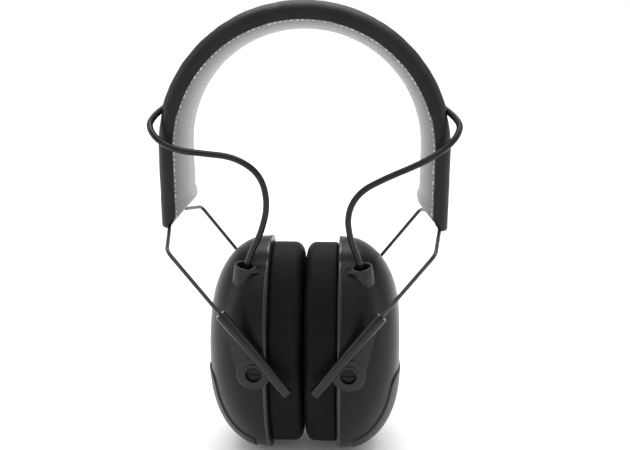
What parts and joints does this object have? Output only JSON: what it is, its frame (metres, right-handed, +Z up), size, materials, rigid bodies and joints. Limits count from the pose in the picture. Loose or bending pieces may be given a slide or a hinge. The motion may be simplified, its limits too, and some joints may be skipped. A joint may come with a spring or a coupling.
{
  "type": "electronic earmuff hearing protector",
  "caption": "Earmuff with padded headband, two spring wires, sliding and tilting ear cups, soft cushions, a cable over the head, volume knob and battery door.",
  "frame": {"origin": "bottom centre of the bounding box, on the plane between the two cushions", "axes": "+X towards the wearer's right cup, +Y towards the wearer's front, +Z up towards the crown"},
  "size_m": [0.1467, 0.0926, 0.2285],
  "materials": {
    "leatherette": "black fine-grained leatherette",
    "foam": "grey foam, hidden",
    "lining": "light grey knitted lining",
    "cable": "black flexible jacket",
    "wire": "black painted spring wire",
    "bracket": "satin black moulded plastic",
    "pin": "black moulded plastic",
    "shell": "satin black moulded plastic",
    "inner_plastic": "black moulded plastic",
    "cushion": "soft matte black leatherette",
    "liner": "black open foam",
    "speaker_metal": "bare metal",
    "screw": "zinc-plated steel",
    "grille": "black perforated plastic",
    "gland": "black moulded rubber",
    "panel": "finely textured black plastic",
    "knob": "ribbed black plastic",
    "jack": "black plastic socket",
    "board": "green circuit board",
    "battery": "plain grey cell wrap",
    "contact": "nickel-plated contact"
  },
  "bodies": {
    "right_band": {"right_side_cover": "leatherette", "right_upper_cover": "leatherette", "right_band_foam": "foam", "right_band_lining": "lining", "right_band_cable": "cable", "right_rear_wire": "wire", "right_front_wire": "wire"},
    "left_band": {"left_side_cover": "leatherette", "left_upper_cover": "leatherette", "left_band_foam": "foam", "left_band_lining": "lining", "left_band_cable": "cable", "left_rear_wire": "wire", "left_front_wire": "wire"},
    "right_brackets": {"right_rear_bracket": "bracket", "right_front_bracket": "bracket", "right_cable": "cable"},
    "left_brackets": {"left_rear_bracket": "bracket", "left_front_bracket": "bracket", "left_cable": "cable"},
    "right_cup": {"right_pivot_pins": "pin", "right_shell": "shell", "right_inner_plate": "inner_plastic", "right_cushion_ring": "inner_plastic", "right_ear_cushion": "cushion", "right_foam_liner": "liner", "right_speaker": "speaker_metal", "right_plate_screws": "screw", "right_microphone": "speaker_metal", "right_microphone_grille": "grille", "right_cable_gland": "gland", "right_panel": "panel", "volume_potentiometer": "speaker_metal", "audio_jack": "jack", "circuit_board": "board", "board_screws": "screw"},
    "left_cup": {"left_pivot_pins": "pin", "left_shell": "shell", "left_inner_plate": "inner_plastic", "left_cushion_ring": "inner_plastic", "left_ear_cushion": "cushion", "left_foam_liner": "liner", "left_speaker": "speaker_metal", "left_plate_screws": "screw", "left_microphone": "speaker_metal", "left_microphone_grille": "grille", "left_cable_gland": "gland", "door_hinge_pin": "screw", "battery_tray": "inner_plastic", "batteries": "battery", "contact_plates": "contact", "contact_springs": "contact"},
    "volume_knob": {"volume_knob": "knob"},
    "battery_door": {"battery_door": "panel"}
  },
  "joints": [
    {"name": "band_spread", "type": "hinge", "parent": "right_band", "child": "left_band", "pos_m": [0, 0, 0.2285], "axis": [0, 1, 0], "range_deg": [0, 46], "stiffness_Nm_per_rad": 2, "springref_deg": -14.32},
    {"name": "right_adjust", "type": "slide", "parent": "right_band", "child": "right_brackets", "axis": [0.6157, 0, 0.788], "range_m": [0, 0.025], "deforming": ["right_cable"]},
    {"name": "left_adjust", "type": "slide", "parent": "left_band", "child": "left_brackets", "axis": [-0.6157, 0, 0.788], "range_m": [0, 0.025], "deforming": ["left_cable"]},
    {"name": "right_tilt", "type": "hinge", "parent": "right_brackets", "child": "right_cup", "pos_m": [0.02241, 0, 0.0577], "axis": [0, 1, 0], "range_deg": [-8, 8], "deforming": ["right_ear_cushion"]},
    {"name": "left_tilt", "type": "hinge", "parent": "left_brackets", "child": "left_cup", "pos_m": [-0.02241, 0, 0.0577], "axis": [0, 1, 0], "range_deg": [-8, 8], "deforming": ["left_ear_cushion"]},
    {"name": "volume_knob_turn", "type": "hinge", "parent": "right_cup", "child": "volume_knob", "pos_m": [0.0325, 0.0326, 0.035], "axis": [0, 1, 0], "range_deg": [-270, 0]},
    {"name": "battery_door_open", "type": "hinge", "parent": "left_cup", "child": "battery_door", "pos_m": [-0.0467, 0, 0.0503], "axis": [0, 1, 0], "range_deg": [0, 95]}
  ]
}
